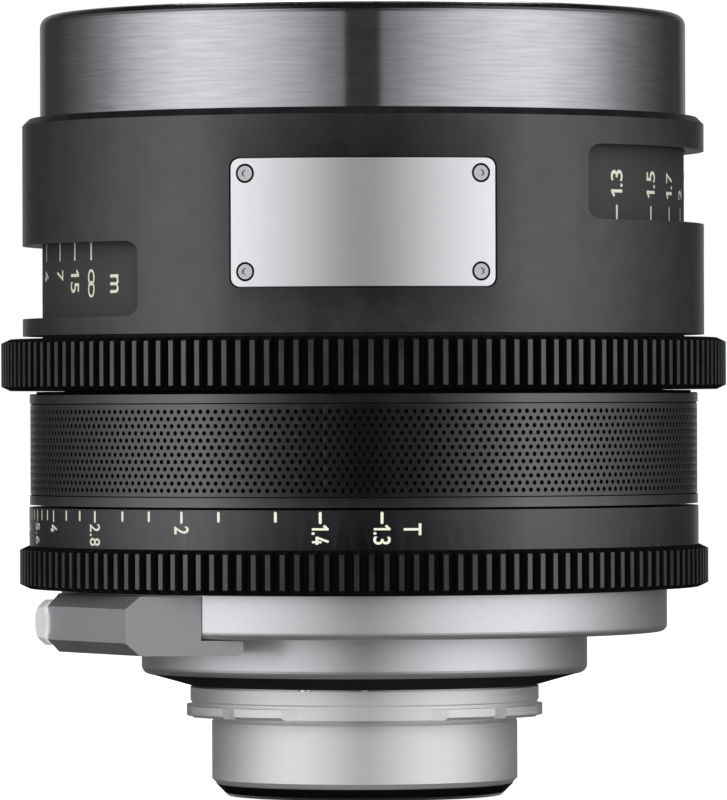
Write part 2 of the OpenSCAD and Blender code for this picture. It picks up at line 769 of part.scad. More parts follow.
module rear_doublet_crown() color("powderblue")
  lens(rear_glass_d, crown_edge + sag(crown_face_r, rear_glass_d / 2), crown_face_r,
       flint_edge + cement - sag(rear_cement_r, rear_glass_d / 2), rear_cement_r);

module rear_doublet_flint() color("lightblue")
  lens(rear_glass_d, flint_edge - sag(rear_cement_r, rear_glass_d / 2), -rear_cement_r,
       flint_seat + sag(flint_hollow_r, flint_hollow), -flint_hollow_r, flint_hollow);

module rear_element_retainer() color("black")
  translate([0, 0, rear_edge + rim_rise(rear_face_r, rear_element_d)])
    band(rear_element_d / 2 - retainer_w, rear_element_d / 2, cement, retainer_h);

module rear_element() color("powderblue")
  lens(rear_element_d, rear_edge + sag(rear_face_r, rear_element_d / 2), rear_face_r, rear_low, 0);

// Iris: base with pivots, eleven blades, and the rotor with its spiral slots

module iris_base() color([0.15, 0.15, 0.15]) {
  band(open_r + 0.5, main_bore - fit_clear, z_ledge, z_base);
  band(main_bore - fit_clear - 2, main_bore - fit_clear, z_ledge, z_rotor - blade_gap);
  for (i = [0:blade_count - 1]) rotate([0, 0, i * blade_step]) translate([pivot_r, 0, z_ledge])
    cylinder(r = pivot_pin_r, h = base_t + blade_stack + blade_gap + 0.15);
}

module iris_retainer() color([0.15, 0.15, 0.15]) {
  z0 = z_rotor + rotor_rim_h + blade_gap;
  band(main_bore - rotor_rim_w, main_bore - fit_clear, z0, z0 + 2.5);
}

// Where a blade's drive stud stands when the ring is turned by an angle from open
function stud_open() = polar(pivot_r, stud_angle) - [pivot_r, 0];
function swing(p, a) = [p[0] * cos(a) - p[1] * sin(a), p[0] * sin(a) + p[1] * cos(a)];
function stud_at(turned) = [pivot_r, 0] + swing(stud_open(), turned * blade_ratio);
function slot_at(turned) = swing(stud_at(turned), iris_at_rest - turned);
function slot_side(turned, side) = let (
    ahead = slot_at(turned + 0.5) - slot_at(turned - 0.5)
  ) slot_at(turned) + side * slot_r * [-ahead[1], ahead[0]] / norm(ahead);

slot_cuts = 20;

module rotor_slot() {
  angles = [for (i = [0:slot_cuts]) iris_throw * i / slot_cuts];
  polygon(concat([for (a = angles) slot_side(a, 1)],
                 [for (i = [slot_cuts:-1:0]) slot_side(angles[i], -1)]));
  for (a = [0, iris_throw]) translate(slot_at(a)) circle(r = slot_r);
}

module iris_rotor() color([0.2, 0.2, 0.2]) difference() {
  outer = main_bore - run_clear;
  turn([[open_r + 1.5, z_rotor], [outer, z_rotor], [outer, z_rotor + rotor_rim_h],
        [outer - rotor_rim_w, z_rotor + rotor_rim_h], [outer - rotor_rim_w, z_rotor + rotor_t],
        [open_r + 1.5, z_rotor + rotor_t]]);
  translate([0, 0, z_rotor - over]) linear_extrude(rotor_t + 2 * over)
    for (i = [0:blade_count - 1]) rotate(i * blade_step) rotor_slot();
  at(drive_phi) spoke(outer - rotor_rim_w - over, outer + over, z_drive, drive_d + 2 * fit_clear);
}

module blade_shape() difference() {
  union() {
    difference() {
      intersection() {
        circle(r = blade_r);
        polygon([[0, 0], polar(1.5 * blade_r, 12), polar(1.5 * blade_r, 36), polar(blade_r, 60),
                 polar(open_r + 3, 100)]);
      }
      circle(r = open_r);
    }
    difference() {
      intersection() {
        circle(r = pivot_r);
        union() {
          polygon([[0, 0], polar(1.5 * pivot_r, -0.5), polar(1.5 * pivot_r, 15)]);
          polygon([[0, 0], polar(1.5 * pivot_r, stud_angle - 2.3), polar(1.5 * pivot_r, stud_angle + 2.3)]);
        }
      }
      circle(r = pivot_r - 4);
    }
    translate([pivot_r, 0]) circle(r = 1.7);
    translate(polar(pivot_r, stud_angle)) circle(r = 1.2);
  }
  translate([pivot_r, 0]) circle(r = pivot_pin_r + run_clear);
}

module iris_blade(i) color([0.25, 0.25, 0.27]) {
  z = z_blades + (i - 1) * blade_pitch;
  rotate([0, 0, (i - 1) * blade_step]) translate([pivot_r, 0, z])
    rotate([0, 0, iris_at_rest * blade_ratio]) translate([-pivot_r, 0, 0]) {
      linear_extrude(blade_t) blade_shape();
      translate(concat(polar(pivot_r, stud_angle), 0))
        cylinder(r = stud_r, h = z_rotor + rotor_t - z - run_clear);
    }
}

module iris_ring() color([0.11, 0.11, 0.11]) difference() {
  union() {
    gear_teeth(iris_teeth, neck_r + run_clear, z_iris, iris_gear_w);
    band(neck_r + run_clear, t_band_d / 2, z_tband, z_ttop);
  }
  at(drive_phi) spoke(neck_r - over, neck_r + 3.1, z_drive, drive_d + 2 * fit_clear);
}

module iris_drive_pin() color("silver") at(drive_phi)
  spoke(main_bore - rotor_rim_w + 0.4, neck_r + 3, z_drive, drive_d);

// Focus ring: gear and scale rings on a cam sleeve

module focus_gear_ring() color([0.11, 0.11, 0.11])
  gear_teeth(focus_teeth, cam_r + fit_clear, z_focus, focus_gear_w);

module focus_scale_ring() color([0.25, 0.25, 0.26]) difference() {
  band(cam_r + fit_clear, scale_r, z_scale, z_web - 0.4);
  focus_screw_holes();
}

focus_screw_d = 2;

module focus_screw_places() for (i = [0:2]) at(120 * i) children();

module focus_screw_holes() focus_screw_places()
  spoke(cam_bore - over, scale_r + over, screw_z, focus_screw_d + 2 * fit_clear);

module focus_ring_screws() color("gray") focus_screw_places() difference() {
  spoke(cam_bore + 0.2, scale_r - 0.3, screw_z, focus_screw_d);
  spoke(scale_r - 1.2, scale_r + over, screw_z, 1, 6);
}

// Helical cutter: a square bar swept along the path of a follower pin
cam_cuts = 50;
cam_margin = asin((follower_slot / 2 + 0.1) / cam_bore);

function cam_ring(turned) = [for (c = [[cam_bore - over, -1], [cam_r + over, -1], [cam_r + over, 1],
                                       [cam_bore - over, 1]])
  concat(polar(c[0], -turned), z_follow + turned * lead + c[1] * follower_slot / 2)];

module cam_cutter() {
  first = -focus_at_rest - cam_margin;
  last = focus_throw - focus_at_rest + cam_margin;
  points = [for (i = [0:cam_cuts]) each cam_ring(first + (last - first) * i / cam_cuts)];
  sides = [for (i = [0:cam_cuts - 1], k = [0:3]) let (a = 4 * i + k, b = 4 * i + (k + 1) % 4)
    each [[a, b + 4, b], [a, a + 4, b + 4]]];
  tail = 4 * cam_cuts;
  ends = [[0, 1, 2], [0, 2, 3], [tail, tail + 2, tail + 1], [tail, tail + 3, tail + 2]];
  polyhedron(points, concat(sides, ends));
}

module focus_cam_sleeve() color("darkgray") difference() {
  band(cam_bore, cam_r, z_focus + 0.1, z_web - 0.4);
  for (i = [0:follower_count - 1]) at(follower_phi + 120 * i) cam_cutter();
  focus_screw_holes();
}

// Focus carriage, which slides in the main barrel

carriage_low = z_follow - 9;
focus_seat = z_follow - 6;
focus_flint_edge = focus_seat + 2 + sag(focus_cement_r, focus_glass_d / 2);
focus_crown_edge = focus_flint_edge + 1;
focus_rim = focus_crown_edge + rim_rise(focus_face_r, focus_glass_d);
carriage_top = focus_rim + retainer_h;
carriage_r = main_bore - run_clear;

module focus_carriage() color("gray") {
  bore = focus_glass_d / 2 + fit_clear;
  difference() {
    turn([[bore - 2.5, carriage_low], [carriage_r, carriage_low], [carriage_r, carriage_top],
          [carriage_r - 3.8, carriage_top], [carriage_r - 3.8, focus_seat],
          [bore + 3, focus_seat], [bore + 3, carriage_top], [bore, carriage_top],
          [bore, focus_seat], [bore - 2.5, focus_seat]]);
    for (i = [0:follower_count - 1]) at(follower_phi + 120 * i)
      spoke(carriage_r - 3, carriage_r + over, z_follow, follower_d + 2 * fit_clear);
  }
}

module follower_pins() color("silver") for (i = [0:follower_count - 1]) at(follower_phi + 120 * i)
  spoke(carriage_r - 2.9, cam_r - 0.2, z_follow, follower_d);

module focus_front_element() color("powderblue")
  lens(focus_glass_d, focus_crown_edge + sag(focus_face_r, focus_glass_d / 2), focus_face_r,
       focus_flint_edge + cement - sag(focus_cement_r, focus_glass_d / 2), focus_cement_r);

module focus_rear_element() color("lightblue")
  lens(focus_glass_d, focus_flint_edge - sag(focus_cement_r, focus_glass_d / 2), -focus_cement_r,
       focus_seat, 0);

module focus_retainer() color("black")
  band(focus_glass_d / 2 - retainer_w, focus_glass_d / 2, focus_rim + cement, carriage_top);

front_ring();
front_baffle();
front_element_retainer();
front_element();
second_element_retainer();
second_element();
front_cell();
barrel_screws();
window_barrel();
name_plate();
name_plate_screws();
main_barrel();
grip_sleeve();
rear_housing();
housing_screws();
connector_block();
connector_nut();
connector_shell();
connector_insert();
connector_pins();
pl_mount();
pl_shim();
mount_pin();
mount_screws();
rear_baffle();
rear_cell();
rear_cell_retainer();
rear_group_element();
rear_spacer();
rear_doublet_crown();
rear_doublet_flint();
rear_element_retainer();
rear_element();
iris_base();
iris_retainer();
focus_gear_ring();
focus_scale_ring();
focus_cam_sleeve();
focus_ring_screws();
focus_carriage();
follower_pins();
focus_front_element();
focus_rear_element();
focus_retainer();
iris_ring();
iris_rotor();
iris_drive_pin();
iris_blade(1);  // iris_blade_1
iris_blade(2);  // iris_blade_2
iris_blade(3);  // iris_blade_3
iris_blade(4);  // iris_blade_4
iris_blade(5);  // iris_blade_5
iris_blade(6);  // iris_blade_6
iris_blade(7);  // iris_blade_7
iris_blade(8);  // iris_blade_8
iris_blade(9);  // iris_blade_9
iris_blade(10);  // iris_blade_10
iris_blade(11);  // iris_blade_11
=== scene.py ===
import math

import bpy
from mathutils import Matrix, Vector


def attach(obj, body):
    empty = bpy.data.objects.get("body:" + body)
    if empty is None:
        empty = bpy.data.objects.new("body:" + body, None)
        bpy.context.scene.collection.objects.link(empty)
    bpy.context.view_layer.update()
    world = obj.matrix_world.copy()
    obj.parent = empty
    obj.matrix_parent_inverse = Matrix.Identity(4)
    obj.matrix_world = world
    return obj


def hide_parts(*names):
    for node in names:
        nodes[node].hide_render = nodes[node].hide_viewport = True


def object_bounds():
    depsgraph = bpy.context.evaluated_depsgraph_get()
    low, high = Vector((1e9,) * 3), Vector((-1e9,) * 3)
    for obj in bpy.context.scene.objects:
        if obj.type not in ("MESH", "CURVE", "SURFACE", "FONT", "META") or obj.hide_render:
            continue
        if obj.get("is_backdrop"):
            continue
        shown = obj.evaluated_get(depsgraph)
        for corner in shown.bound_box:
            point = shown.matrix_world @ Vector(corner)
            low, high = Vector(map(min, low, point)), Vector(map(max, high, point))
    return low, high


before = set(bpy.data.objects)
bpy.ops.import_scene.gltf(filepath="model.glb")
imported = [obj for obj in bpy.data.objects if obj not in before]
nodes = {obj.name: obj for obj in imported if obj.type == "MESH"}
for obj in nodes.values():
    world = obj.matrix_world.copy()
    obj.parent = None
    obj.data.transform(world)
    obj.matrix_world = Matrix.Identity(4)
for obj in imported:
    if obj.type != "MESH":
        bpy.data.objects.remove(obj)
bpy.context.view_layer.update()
scene = bpy.context.scene
scene.view_settings.view_transform = "Standard"
mm = 0.001
print("frame loaded:", len(nodes), "nodes")


# Camera, level with the middle of the lens and facing the plate

cameraSetup = {
    "distance": 1.335,       # from the optical axis
    "height": 0.05415,
    "pixelsPerMetre": 5655,  # at the optical axis
    "horizonRow": 407.6,
    "axisColumn": 363.65,
    "roll": -0.184,          # degrees
    "imageSize": (727, 800),
    "sensor": 36,            # mm
    "clipEnd": 50,
}


def addCamera(setup):
    data = bpy.data.cameras.new("photoCamera")
    focalPixels = setup["pixelsPerMetre"] * setup["distance"]
    width, height = setup["imageSize"]
    data.sensor_width = setup["sensor"]
    data.lens = setup["sensor"] * focalPixels / height
    data.clip_end = setup["clipEnd"]
    lookUp = (setup["horizonRow"] - height / 2) / focalPixels
    aside = (width / 2 - setup["axisColumn"]) / setup["pixelsPerMetre"]
    camera = bpy.data.objects.new("photoCamera", data)
    tilt = Matrix.Rotation(math.pi / 2 + lookUp, 4, "X")
    roll = Matrix.Rotation(math.radians(setup["roll"]), 4, "Z")
    stand = Matrix.Translation((aside, -setup["distance"], setup["height"]))
    camera.matrix_world = stand @ (tilt @ roll)
    scene.collection.objects.link(camera)
    scene.camera = camera


addCamera(cameraSetup)
print("camera set")


# Shader helpers

def setInputs(tree, node, inputs):
    # each value is a number, a colour or the output of another node
    for name, value in inputs.items():
        if isinstance(value, bpy.types.NodeSocket):
            tree.links.new(value, node.inputs[name])
        else:
            node.inputs[name].default_value = value


def addNode(tree, kind, place, inputs=None, **values):
    node = tree.nodes.new(kind)
    node.location = place
    for name, value in values.items():
        setattr(node, name, value)
    setInputs(tree, node, inputs or {})
    return node


def mathNode(tree, operation, place, *terms):
    return addNode(tree, "ShaderNodeMath", place, dict(enumerate(terms)), operation=operation).outputs[0]


def mixColor(tree, place, factor, first, second):
    # first where factor is 0, second where it is 1
    return addNode(tree, "ShaderNodeMix", place, {0: factor, 6: first, 7: second}, data_type="RGBA").outputs[2]


def newMaterial(name):
    material = bpy.data.materials.new(name)
    material.use_nodes = True
    return material, material.node_tree, material.node_tree.nodes["Principled BSDF"]


def newGroup(name, inputs, outputs):
    group = bpy.data.node_groups.new(name, "ShaderNodeTree")
    for label, value in inputs.items():
        kind = "NodeSocketColor" if isinstance(value, tuple) else "NodeSocketFloat"
        group.interface.new_socket(label, in_out="INPUT", socket_type=kind).default_value = value
    for label in outputs:
        kind = "NodeSocketColor" if label == "Color" else "NodeSocketFloat"
        group.interface.new_socket(label, in_out="OUTPUT", socket_type=kind)
    return group, addNode(group, "NodeGroupInput", (-900, 0)), addNode(group, "NodeGroupOutput", (700, 0))


# Surface groups, shared by the finishes

grain = {
    "inputs": {"Color": (0.5, 0.5, 0.5, 1), "Variation": 0.1, "Roughness": 0.4, "Spread": 0.06, "Density": 9000.0},
    "outputs": ("Color", "Roughness", "Height"),
    "fineDetail": 2, "cloudScale": 55, "cloudDetail": 4, "lineDetail": 3, "along": 18.0,
}
edgeWear = {
    "inputs": {"Color": (0.02, 0.02, 0.02, 1), "Worn": (0.3, 0.3, 0.3, 1), "Amount": 0.3},
    "edgeFrom": 0.53, "edgeTo": 0.62, "patchScale": 260,
}


def finishGrain(group, source, result, shade, rough, height):
    # shade makes the colour lighter and darker by the share in Variation, rough the roughness by Spread
    shadeCentred = mathNode(group, "SUBTRACT", (0, 200), shade, 0.5)
    shadeSwing = mathNode(group, "MULTIPLY", (160, 200), shadeCentred, source.outputs["Variation"])
    factor = mathNode(group, "MULTIPLY_ADD", (320, 200), shadeSwing, 2.0, 1.0)
    tint = addNode(group, "ShaderNodeVectorMath", (480, 200), {0: source.outputs["Color"], "Scale": factor},
                   operation="SCALE")
    roughCentred = mathNode(group, "SUBTRACT", (0, -100), rough, 0.5)
    roughSwing = mathNode(group, "MULTIPLY", (160, -100), roughCentred, source.outputs["Spread"])
    roughness = mathNode(group, "ADD", (320, -100), roughSwing, source.outputs["Roughness"])
    setInputs(group, result, {"Color": tint.outputs[0], "Roughness": roughness, "Height": height})


def buildBlastGrain(setup):
    # even matt grain of blasted or anodised metal, with faint clouds from handling
    group, source, result = newGroup("blastGrain", setup["inputs"], setup["outputs"])
    place = addNode(group, "ShaderNodeTexCoord", (-900, -300)).outputs["Object"]
    fine = addNode(group, "ShaderNodeTexNoise", (-650, -200), {
        "Vector": place, "Scale": source.outputs["Density"], "Detail": setup["fineDetail"]}).outputs["Fac"]
    cloud = addNode(group, "ShaderNodeTexNoise", (-650, -450), {
        "Vector": place, "Scale": setup["cloudScale"], "Detail": setup["cloudDetail"]}).outputs["Fac"]
    both = mathNode(group, "ADD", (-420, -320), fine, cloud)
    finishGrain(group, source, result, mathNode(group, "MULTIPLY", (-260, -320), both, 0.5), cloud, fine)
    return group


def buildTurnedLines(setup):
    # fine tool lines that run round the optical axis
    group, source, result = newGroup("turnedLines", {**setup["inputs"], "Along": setup["along"]}, setup["outputs"])
    coords = addNode(group, "ShaderNodeTexCoord", (-1150, -300))
    axes = addNode(group, "ShaderNodeSeparateXYZ", (-980, -300), {0: coords.outputs["Object"]}).outputs
    squares = [mathNode(group, "POWER", (-820, -120 - 120 * i), axes[i], 2.0) for i in range(2)]
    reach = mathNode(group, "SQRT", (-500, -180), mathNode(group, "ADD", (-660, -180), *squares))
    across = mathNode(group, "ADD", (-340, -240), reach, axes["Z"])
    pitch = mathNode(group, "MULTIPLY", (-180, -240), across, source.outputs["Density"])
    slow = [mathNode(group, "MULTIPLY", (-660, -420 - 120 * i), axes[i], source.outputs["Along"]) for i in range(2)]
    place = addNode(group, "ShaderNodeCombineXYZ", (-20, -380), dict(enumerate((*slow, pitch))))
    lines = addNode(group, "ShaderNodeTexNoise", (140, -380), {
        "Vector": place.outputs[0], "Scale": 1, "Detail": setup["lineDetail"]}).outputs["Fac"]
    finishGrain(group, source, result, lines, lines, lines)
    return group


def buildEdgeWear(setup):
    # thin bright rub along outer edges, broken up by noise
    group, source, result = newGroup("edgeWear", setup["inputs"], ("Color",))
    shape = addNode(group, "ShaderNodeNewGeometry", (-900, -250))
    edge = addNode(group, "ShaderNodeMapRange", (-650, -250), {
        "Value": shape.outputs["Pointiness"], "From Min": setup["edgeFrom"], "From Max": setup["edgeTo"]})
    coords = addNode(group, "ShaderNodeTexCoord", (-900, -500))
    patches = addNode(group, "ShaderNodeTexNoise", (-650, -500), {
        "Vector": coords.outputs["Object"], "Scale": setup["patchScale"]})
    broken = mathNode(group, "MULTIPLY", (-420, -350), edge.outputs["Result"], patches.outputs["Fac"])
    share = mathNode(group, "MULTIPLY", (-260, -350), broken, source.outputs["Amount"])
    color = mixColor(group, (0, 0), share, source.outputs["Color"], source.outputs["Worn"])
    setInputs(group, result, {"Color": color})
    return group


def buildPaintedShadeMask():
    # 1 nearer to the optical axis than Reach and lower than Top: where shade is painted in
    group, source, result = newGroup("hollowMask", {"Reach": 1.0, "Top": 1.0}, ("Mask",))
    place = addNode(group, "ShaderNodeTexCoord", (-800, 0)).outputs["Object"]
    flat = addNode(group, "ShaderNodeVectorMath", (-600, 0), {0: place, 1: (1, 1, 0)}, operation="MULTIPLY")
    reach = addNode(group, "ShaderNodeVectorMath", (-400, 0), {0: flat.outputs[0]}, operation="LENGTH")
    within = mathNode(group, "LESS_THAN", (-200, 0), reach.outputs["Value"], source.outputs["Reach"])
    axes = addNode(group, "ShaderNodeSeparateXYZ", (-400, -300), {0: place})
    under = mathNode(group, "LESS_THAN", (-200, -300), axes.outputs["Z"], source.outputs["Top"])
    setInputs(group, result, {"Mask": mathNode(group, "MULTIPLY", (200, 0), within, under)})
    return group


surfaceGroups = {"blast": buildBlastGrain(grain), "turned": buildTurnedLines(grain)}
wearGroup = buildEdgeWear(edgeWear)
hollowGroup = buildPaintedShadeMask()
print("surface groups built")


# Finishes. Colours are linear; bump is the height of the grain in metres.

coatedBlack = dict(metallic=0, coat=1.0, variation=0.10, worn=(0.10, 0.10, 0.105), wear=0.35)
ringBlack = dict(coatedBlack, surface="turned", color=(0.004, 0.004, 0.005), gloss=0.30, roughness=0.22, spread=0.04,
                 density=2600, bump=0.0000012)

finishes = {
    "frontMetal": dict(surface="turned", color=(0.58, 0.58, 0.59), metallic=1, roughness=0.17, spread=0.06,
                       brushed=0.96, variation=0.32, density=2300, along=130, bump=0.000002),
    "anodisedBlack": dict(coatedBlack, surface="blast", color=(0.006, 0.006, 0.007), gloss=0.45, roughness=0.34,
                          spread=0.06, density=7000, bump=0.000003),
    "barrelBlack": dict(coatedBlack, surface="blast", color=(0.006, 0.006, 0.007), gloss=0.38, coatIor=1.58,
                        roughness=0.26, spread=0.05, density=7000, bump=0.000002),
    # painted shade: gripBlack is darker in its seams and holes, irisBlack and gearBlack between their gear teeth
    "gripBlack": dict(ringBlack, coatIor=1.95, hollow=58.87 * mm, hollowColor=(0.002, 0.002, 0.002)),
    "irisBlack": dict(ringBlack, coatIor=1.72, hollow=60.68 * mm, hollowTop=30.02 * mm,
                      hollowColor=(0.003, 0.003, 0.003)),
    "gearBlack": dict(coatedBlack, surface="blast", color=(0.005, 0.005, 0.006), gloss=0.32, coatIor=1.72,
                      roughness=0.30, spread=0.08, variation=0.12, density=6000, bump=0.000004,
                      worn=(0.13, 0.13, 0.135), wear=0.4, hollow=63.88 * mm, hollowColor=(0.002, 0.002, 0.002)),
    "scaleGrey": dict(surface="blast", color=(0.056, 0.056, 0.057), metallic=0, roughness=0.5, spread=0.04,
                      variation=0.06, density=9000, bump=0.000003),
    "innerBlack": dict(surface="turned", color=(0.011, 0.011, 0.012), metallic=0, roughness=0.5, spread=0.08,
                       variation=0.1, density=3000, bump=0.000005),
    # painted shadow: dark in the screw counterbores and on the plate's side edges, nearer the axis than 60 mm
    "plateSilver": dict(surface="blast", color=(0.99, 0.99, 0.985), metallic=0.9, roughness=0.34, spread=0.04,
                        variation=0.04, density=9000, bump=0.000006, hollow=60.0 * mm,
                        hollowColor=(0.02, 0.02, 0.02)),
    # painted shade: dark on the underside, nearer the axis than 38.65 mm and below 7.56 mm
    "housingSilver": dict(surface="blast", color=(0.96, 0.96, 0.96), metallic=0.85, roughness=0.36, spread=0.05,
                          variation=0.22, density=4200, bump=0.000016, hollow=38.65 * mm, hollowTop=7.56 * mm,
                          hollowColor=(0.03, 0.03, 0.03)),
    "connectorGrey": dict(surface="blast", color=(0.95, 0.95, 0.96), metallic=0.9, roughness=0.43, spread=0.05,
                          variation=0.14, density=4200, bump=0.00001),
    "mountSteel": dict(surface="turned", color=(0.97, 0.97, 0.965), metallic=0.68, roughness=0.40, spread=0.12,
                       variation=0.08, density=4500, bump=0.000004),
    "brightSteel": dict(surface="blast", color=(0.82, 0.82, 0.82), metallic=1, roughness=0.18, spread=0.05,
                        variation=0.03, density=9000, bump=0.000002),
    # painted highlight: near-white and almost non-metal, standing in for the bright reflection on the chrome
    # connector nut and shell
    "paintedGlintWhite": dict(surface="blast", color=(0.96, 0.96, 0.955), metallic=0.05, roughness=0.25, spread=0.05,
                       variation=0.03, density=9000, bump=0.000002),
    "rearBlack": dict(surface="turned", color=(0.005, 0.005, 0.006), metallic=0, gloss=0.1, roughness=0.4,
                      spread=0.08, variation=0.1, density=3000, bump=0.000003),
    "screwSteel": dict(surface="turned", color=(0.58, 0.58, 0.58), metallic=1, roughness=0.28, spread=0.08,
                       variation=0.08, density=9000, bump=0.000003),
    "pinBrass": dict(surface="blast", color=(0.62, 0.45, 0.20), metallic=1, roughness=0.35, spread=0.08,
                     variation=0.1, density=6000, bump=0.000003),
    "bladeSteel": dict(surface="blast", color=(0.42, 0.42, 0.43), metallic=0.6, roughness=0.4, spread=0.1,
                       variation=0.15, density=5000, bump=0.000002),
    "insulator": dict(surface="blast", color=(0.03, 0.03, 0.03), metallic=0, roughness=0.5, spread=0.05,
                      variation=0.1, density=5000, bump=0.000003),
    "scalePaint": dict(surface="blast", color=(0.86, 0.93, 0.73), metallic=0, roughness=0.55, spread=0.06,
                       variation=0.06, density=8000, bump=0.000003),
}

# Shared by the finishes. The sheen starts and ends at these values of Facing and of the normal's upright part.
satin = {
    "gloss": 0.5, "coatIor": 1.5, "blend": 0.5, "facing": (0.012, 0.125), "wall": (0.2, 0.6),
    "hollowTop": 1.0, "hollowRoughness": 0.9, "brushTurn": 0.25,
}


def satinSheen(tree, strength, shadeMask):
    # opens where the surface turns away; none on ends and bevels, nor where shade is painted (shadeMask is 1)
    facing = addNode(tree, "ShaderNodeLayerWeight", (-700, -500), {"Blend": satin["blend"]})
    sheen = addNode(tree, "ShaderNodeMapRange", (-450, -500), {
        "Value": facing.outputs["Facing"], "From Min": satin["facing"][0], "From Max": satin["facing"][1],
        "To Max": strength})
    shape = addNode(tree, "ShaderNodeNewGeometry", (-950, -650))
    axes = addNode(tree, "ShaderNodeSeparateXYZ", (-800, -650), {0: shape.outputs["Normal"]})
    wall = addNode(tree, "ShaderNodeMapRange", (-450, -750), {
        "Value": mathNode(tree, "ABSOLUTE", (-640, -750), axes.outputs["Z"]),
        "From Min": satin["wall"][0], "From Max": satin["wall"][1], "To Min": 1, "To Max": 0})
    weight = mathNode(tree, "MULTIPLY", (-250, -600), sheen.outputs["Result"], wall.outputs["Result"])
    if shadeMask is None:
        return weight
    unmasked = mathNode(tree, "SUBTRACT", (-250, -800), 1.0, shadeMask)
    return mathNode(tree, "MULTIPLY", (-100, -600), weight, unmasked)


def makeFinish(name, look):
    material, tree, shader = newMaterial(name)
    surface = addNode(tree, "ShaderNodeGroup", (-700, 0), node_tree=surfaceGroups[look["surface"]])
    setInputs(tree, surface, {"Color": (*look["color"], 1)})
    setInputs(tree, surface, {label: look[label.lower()] for label in
                              ("Variation", "Roughness", "Spread", "Density", "Along") if label.lower() in look})
    color, rough, shadeMask = surface.outputs["Color"], surface.outputs["Roughness"], None
    if "brushed" in look:
        # highlights spread across the brush lines, which run round the axis
        brush = addNode(tree, "ShaderNodeTangent", (-700, -750), direction_type="RADIAL", axis="Z")
        setInputs(tree, shader, {"Tangent": brush.outputs["Tangent"], "Anisotropic": look["brushed"],
                                 "Anisotropic Rotation": satin["brushTurn"]})
    if "wear" in look:
        worn = addNode(tree, "ShaderNodeGroup", (-450, 200), node_tree=wearGroup)
        setInputs(tree, worn, {"Color": color, "Worn": (*look["worn"], 1), "Amount": look["wear"]})
        color = worn.outputs["Color"]
    if "hollow" in look:
        # painted shade: dark colour and dull roughness in gaps, grooves and counterbores
        hollow = addNode(tree, "ShaderNodeGroup", (-1100, 400), node_tree=hollowGroup)
        setInputs(tree, hollow, {"Reach": look["hollow"], "Top": look.get("hollowTop", satin["hollowTop"])})
        shadeMask = hollow.outputs["Mask"]
        color = mixColor(tree, (-420, 400), shadeMask, color, (*look["hollowColor"], 1))
        dull = mathNode(tree, "MULTIPLY", (-600, 100), shadeMask, satin["hollowRoughness"])
        rough = mathNode(tree, "MAXIMUM", (-420, 100), rough, dull)
    bump = addNode(tree, "ShaderNodeBump", (-300, -300), {
        "Distance": look["bump"], "Height": surface.outputs["Height"]})
    setInputs(tree, shader, {
        "Base Color": color, "Roughness": rough, "Normal": bump.outputs["Normal"], "Metallic": look["metallic"],
        "Specular IOR Level": look.get("gloss", satin["gloss"])})
    if "coat" in look:
        setInputs(tree, shader, {
            "Coat Weight": satinSheen(tree, look["coat"], shadeMask), "Coat Roughness": look["roughness"],
            "Coat IOR": look.get("coatIor", satin["coatIor"])})
    return material


finish = {name: makeFinish(name, look) for name, look in finishes.items()}

glassLook = {
    "tint": (0.96, 0.98, 0.97), "ior": 1.52, "coating": (0.55, 0.75, 0.62), "hazeScale": 40, "hazeRoughness": 0.02,
    "passing": 0.95,         # share of a lamp's light that goes through
}


def makeCoatedGlass(look):
    material, tree, shader = newMaterial("coatedGlass")
    coords = addNode(tree, "ShaderNodeTexCoord", (-900, 0))
    haze = addNode(tree, "ShaderNodeTexNoise", (-700, 0), {
        "Vector": coords.outputs["Object"], "Scale": look["hazeScale"]})
    rough = addNode(tree, "ShaderNodeMapRange", (-450, -100), {
        "Value": haze.outputs["Fac"], "To Min": 0.0, "To Max": look["hazeRoughness"]})
    # lets lamps shine through on to the blades
    path = addNode(tree, "ShaderNodeLightPath", (-700, -300))
    held = mathNode(tree, "MULTIPLY", (-500, -300), path.outputs["Is Shadow Ray"], look["passing"])
    setInputs(tree, shader, {
        "Base Color": (*look["tint"], 1), "Roughness": rough.outputs["Result"], "IOR": look["ior"],
        "Transmission Weight": 1, "Specular Tint": (*look["coating"], 1),
        "Alpha": mathNode(tree, "SUBTRACT", (-300, -300), 1.0, held)})
    return material


finish["coatedGlass"] = makeCoatedGlass(glassLook)
print("finishes built:", len(finish))


# Which finish each piece of the frame wears

wearing = {
    "frontMetal": ["front_ring"],
    "barrelBlack": ["window_barrel"],
    "gripBlack": ["grip_sleeve"],
    "irisBlack": ["iris_ring"],
    "gearBlack": ["focus_gear_ring"],
    "scaleGrey": ["focus_scale_ring"],
    "plateSilver": ["name_plate"],
    "housingSilver": ["rear_housing"],
    "connectorGrey": ["connector_block"],
    "mountSteel": ["pl_mount"],
    "brightSteel": ["mount_pin"],
    "paintedGlintWhite": ["connector_nut", "connector_shell"],
    "rearBlack": ["rear_baffle", "main_barrel"],
    "screwSteel": ["name_plate_screws", "mount_screws", "housing_screws", "barrel_screws", "focus_ring_screws",
                   "follower_pins", "iris_drive_pin", "pl_shim"],
    "pinBrass": ["connector_pins"],
    "insulator": ["connector_insert"],
    "anodisedBlack": ["focus_carriage", "focus_cam_sleeve"],
}


def dress(name, look):
    data = nodes[name].data
    data.materials.clear()
    data.materials.append(finish[look])


for name in nodes:
    if name.endswith("_element") or "doublet" in name:
        dress(name, "coatedGlass")
    elif name.startswith("iris_blade"):
        dress(name, "bladeSteel")
    else:
        dress(name, next((look for look, pieces in wearing.items() if name in pieces), "innerBlack"))
print("frame dressed")


# Pieces made here

def point(radius, phi, z):
    # phi in degrees from the plate side, towards +X
    turn = math.radians(phi)
    return (radius * math.sin(turn), -radius * math.cos(turn), z)


